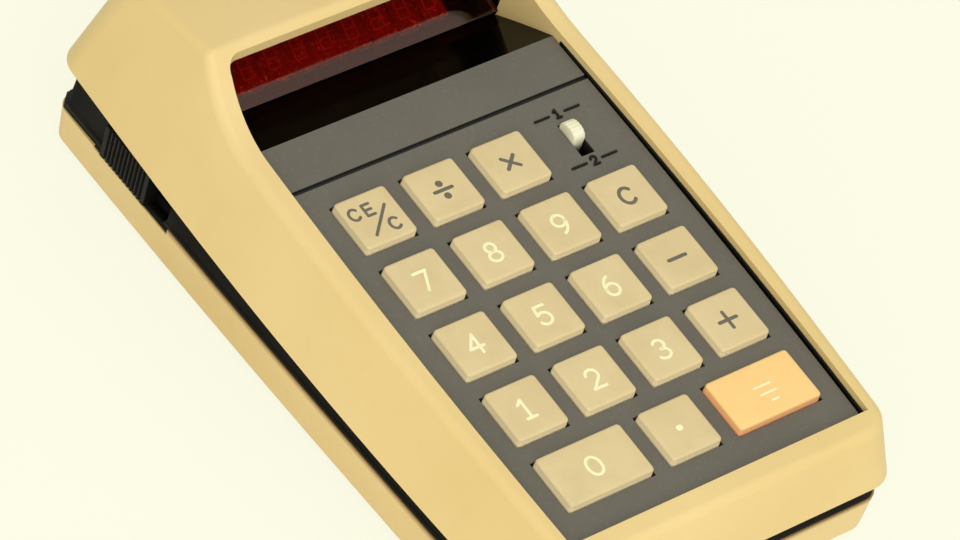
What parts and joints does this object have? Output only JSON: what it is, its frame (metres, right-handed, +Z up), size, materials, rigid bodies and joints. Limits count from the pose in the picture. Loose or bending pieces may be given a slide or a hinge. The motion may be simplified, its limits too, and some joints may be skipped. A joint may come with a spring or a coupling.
{
  "type": "desktop calculator",
  "caption": "Small desktop calculator: hooded red display above a sloping panel of sprung square keys, a mode slide, a side power slide, and a two-part case on rubber feet.",
  "frame": {"origin": "centre of the bounding box's bottom face, which is the plane of the rubber feet", "axes": "+Z up, +Y from the keys to the hooded display (the back), +X to the right as the user sees it"},
  "size_m": [0.0808, 0.1354, 0.0431],
  "materials": {
    "shell_cream": "satin moulded plastic",
    "tray_cream": "satin moulded plastic",
    "frame_black": "semi-gloss moulded plastic",
    "panel_grey": "matte paint",
    "guide_plastic": "plain moulding",
    "contact_steel": "plated",
    "board_green": "resist-coated board",
    "screw_steel": "plated",
    "switch_black": "plain moulding",
    "knob_white": "satin moulded plastic",
    "shelf_black": "glossy",
    "filter_red": "clear red window",
    "digit_red": "moulded lenses",
    "foot_rubber": "matte",
    "chip_black": "moulded package",
    "coil_copper": "enamelled wire",
    "can_aluminium": "sleeved cans",
    "cell_jacket": "plain jacket",
    "jack_black": "plain moulding",
    "key_cream": "satin two-shot moulding",
    "key_orange": "satin two-shot moulding"
  },
  "bodies": {
    "case": {"upper_housing": "shell_cream", "base_tray": "tray_cream", "chassis_frame": "frame_black", "keyboard_bezel": "panel_grey", "key_guide": "guide_plastic", "contact_discs": "contact_steel", "keyboard_board": "board_green", "mode_switch_body": "switch_black", "display_shelf": "shelf_black", "display_filter": "filter_red", "display_board": "board_green", "led_digits": "digit_red", "rubber_feet": "foot_rubber", "case_screws": "screw_steel", "power_switch_body": "switch_black", "main_board": "board_green", "logic_chip": "chip_black", "driver_chips": "chip_black", "converter_coil": "coil_copper", "capacitors": "can_aluminium", "battery_cells": "cell_jacket", "battery_contacts": "contact_steel", "cell_holder": "guide_plastic", "charger_jack": "jack_black"},
    "mode_knob": {"mode_switch_knob": "knob_white"},
    "power_knob": {"power_switch_knob": "switch_black"},
    "key_clear_entry_cap": {"key_clear_entry": "key_cream"},
    "key_divide_cap": {"key_divide": "key_cream"},
    "key_times_cap": {"key_times": "key_cream"},
    "key_7_cap": {"key_7": "key_cream"},
    "key_8_cap": {"key_8": "key_cream"},
    "key_9_cap": {"key_9": "key_cream"},
    "key_clear_cap": {"key_clear": "key_cream"},
    "key_4_cap": {"key_4": "key_cream"},
    "key_5_cap": {"key_5": "key_cream"},
    "key_6_cap": {"key_6": "key_cream"},
    "key_minus_cap": {"key_minus": "key_cream"},
    "key_1_cap": {"key_1": "key_cream"},
    "key_2_cap": {"key_2": "key_cream"},
    "key_3_cap": {"key_3": "key_cream"},
    "key_plus_cap": {"key_plus": "key_cream"},
    "key_0_cap": {"key_0": "key_cream"},
    "key_point_cap": {"key_point": "key_cream"},
    "key_equals_cap": {"key_equals": "key_orange"}
  },
  "joints": [
    {"name": "key_clear_entry_press", "type": "slide", "parent": "case", "child": "key_clear_entry_cap", "axis": [0, 0.0715, -0.9974], "range_m": [0, 0.001], "stiffness_N_per_m": 400, "springref_m": -0.001},
    {"name": "key_divide_press", "type": "slide", "parent": "case", "child": "key_divide_cap", "axis": [0, 0.0715, -0.9974], "range_m": [0, 0.001], "stiffness_N_per_m": 400, "springref_m": -0.001},
    {"name": "key_times_press", "type": "slide", "parent": "case", "child": "key_times_cap", "axis": [0, 0.0715, -0.9974], "range_m": [0, 0.001], "stiffness_N_per_m": 400, "springref_m": -0.001},
    {"name": "key_7_press", "type": "slide", "parent": "case", "child": "key_7_cap", "axis": [0, 0.0715, -0.9974], "range_m": [0, 0.001], "stiffness_N_per_m": 400, "springref_m": -0.001},
    {"name": "key_8_press", "type": "slide", "parent": "case", "child": "key_8_cap", "axis": [0, 0.0715, -0.9974], "range_m": [0, 0.001], "stiffness_N_per_m": 400, "springref_m": -0.001},
    {"name": "key_9_press", "type": "slide", "parent": "case", "child": "key_9_cap", "axis": [0, 0.0715, -0.9974], "range_m": [0, 0.001], "stiffness_N_per_m": 400, "springref_m": -0.001},
    {"name": "key_clear_press", "type": "slide", "parent": "case", "child": "key_clear_cap", "axis": [0, 0.0715, -0.9974], "range_m": [0, 0.001], "stiffness_N_per_m": 400, "springref_m": -0.001},
    {"name": "key_4_press", "type": "slide", "parent": "case", "child": "key_4_cap", "axis": [0, 0.0715, -0.9974], "range_m": [0, 0.001], "stiffness_N_per_m": 400, "springref_m": -0.001},
    {"name": "key_5_press", "type": "slide", "parent": "case", "child": "key_5_cap", "axis": [0, 0.0715, -0.9974], "range_m": [0, 0.001], "stiffness_N_per_m": 400, "springref_m": -0.001},
    {"name": "key_6_press", "type": "slide", "parent": "case", "child": "key_6_cap", "axis": [0, 0.0715, -0.9974], "range_m": [0, 0.001], "stiffness_N_per_m": 400, "springref_m": -0.001},
    {"name": "key_minus_press", "type": "slide", "parent": "case", "child": "key_minus_cap", "axis": [0, 0.0715, -0.9974], "range_m": [0, 0.001], "stiffness_N_per_m": 400, "springref_m": -0.001},
    {"name": "key_1_press", "type": "slide", "parent": "case", "child": "key_1_cap", "axis": [0, 0.0715, -0.9974], "range_m": [0, 0.001], "stiffness_N_per_m": 400, "springref_m": -0.001},
    {"name": "key_2_press", "type": "slide", "parent": "case", "child": "key_2_cap", "axis": [0, 0.0715, -0.9974], "range_m": [0, 0.001], "stiffness_N_per_m": 400, "springref_m": -0.001},
    {"name": "key_3_press", "type": "slide", "parent": "case", "child": "key_3_cap", "axis": [0, 0.0715, -0.9974], "range_m": [0, 0.001], "stiffness_N_per_m": 400, "springref_m": -0.001},
    {"name": "key_plus_press", "type": "slide", "parent": "case", "child": "key_plus_cap", "axis": [0, 0.0715, -0.9974], "range_m": [0, 0.001], "stiffness_N_per_m": 400, "springref_m": -0.001},
    {"name": "key_0_press", "type": "slide", "parent": "case", "child": "key_0_cap", "axis": [0, 0.0715, -0.9974], "range_m": [0, 0.001], "stiffness_N_per_m": 400, "springref_m": -0.001},
    {"name": "key_point_press", "type": "slide", "parent": "case", "child": "key_point_cap", "axis": [0, 0.0715, -0.9974], "range_m": [0, 0.001], "stiffness_N_per_m": 400, "springref_m": -0.001},
    {"name": "key_equals_press", "type": "slide", "parent": "case", "child": "key_equals_cap", "axis": [0, 0.0715, -0.9974], "range_m": [0, 0.001], "stiffness_N_per_m": 400, "springref_m": -0.001},
    {"name": "mode_slide", "type": "slide", "parent": "case", "child": "mode_knob", "axis": [0, -0.9974, -0.0715], "range_m": [0, 0.0025]},
    {"name": "power_slide", "type": "slide", "parent": "case", "child": "power_knob", "axis": [0, -1, 0], "range_m": [0, 0.005]}
  ]
}
